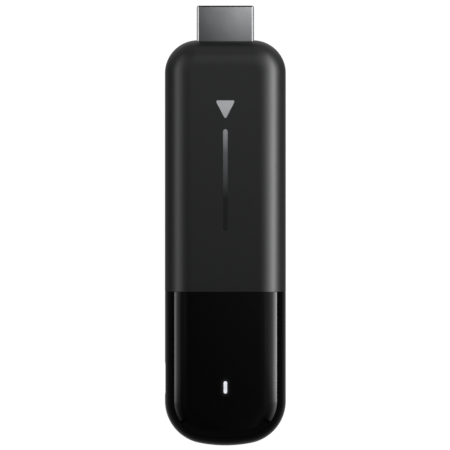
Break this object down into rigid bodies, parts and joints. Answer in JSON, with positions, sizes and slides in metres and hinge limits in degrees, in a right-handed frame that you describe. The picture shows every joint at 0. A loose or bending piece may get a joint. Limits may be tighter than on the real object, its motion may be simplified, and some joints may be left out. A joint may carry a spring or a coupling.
{
  "type": "streaming media player stick",
  "caption": "Flat two-tone stick with rounded ends, a video plug on one end, a side power port and a small pill-shaped status light.",
  "frame": {"origin": "under the middle of the whole stick, plug included, on the surface its back rests on", "axes": "+Y along the stick towards the plug tip, +Z out of the front face, +X to the right seen from the front with the plug up"},
  "size_m": [0.0294, 0.1068, 0.0154],
  "materials": {
    "matte_case": "fine-textured moulded plastic",
    "gloss_case": "polished black",
    "light_pipe": "clear frosted",
    "black_rubber": "soft",
    "led": "cream",
    "plated_steel": "nickel plated, satin",
    "tinned_steel": "tinned",
    "gold_contacts": "gold plated",
    "insulator": "moulded",
    "board": "solder mask",
    "screw_steel": "zinc plated",
    "chip_package": "moulded, marked with nothing",
    "thermal_pad": "soft",
    "spreader": "plain",
    "foam": "open-cell",
    "ferrite": "moulded",
    "ceramic_part": "fired",
    "resistor": "glazed",
    "antenna_metal": "tinned bronze"
  },
  "bodies": {
    "root": {"front_cover": "matte_case", "rear_cover": "matte_case", "end_cap": "gloss_case", "light_pipe": "light_pipe", "light_shroud": "black_rubber", "status_led": "led", "plug_shell": "plated_steel", "plug_insulator": "insulator", "plug_contacts": "gold_contacts", "port_shell": "tinned_steel", "port_insulator": "insulator", "port_contacts": "gold_contacts", "main_board": "board", "board_screws": "screw_steel", "processor": "chip_package", "memory_chips": "chip_package", "flash_chip": "chip_package", "radio_chip": "chip_package", "shield_frame": "tinned_steel", "shield_lid": "tinned_steel", "radio_shield": "tinned_steel", "rear_shield": "tinned_steel", "chip_pads": "thermal_pad", "spreader_pad": "thermal_pad", "rear_pad": "thermal_pad", "heat_spreader": "spreader", "rear_heat_spreader": "spreader", "rear_foam": "foam", "power_regulators": "chip_package", "inductors": "ferrite", "capacitors": "ceramic_part", "resistors": "resistor", "clock_crystals": "tinned_steel", "antenna_left": "antenna_metal", "antenna_right": "antenna_metal"}
  },
  "joints": []
}
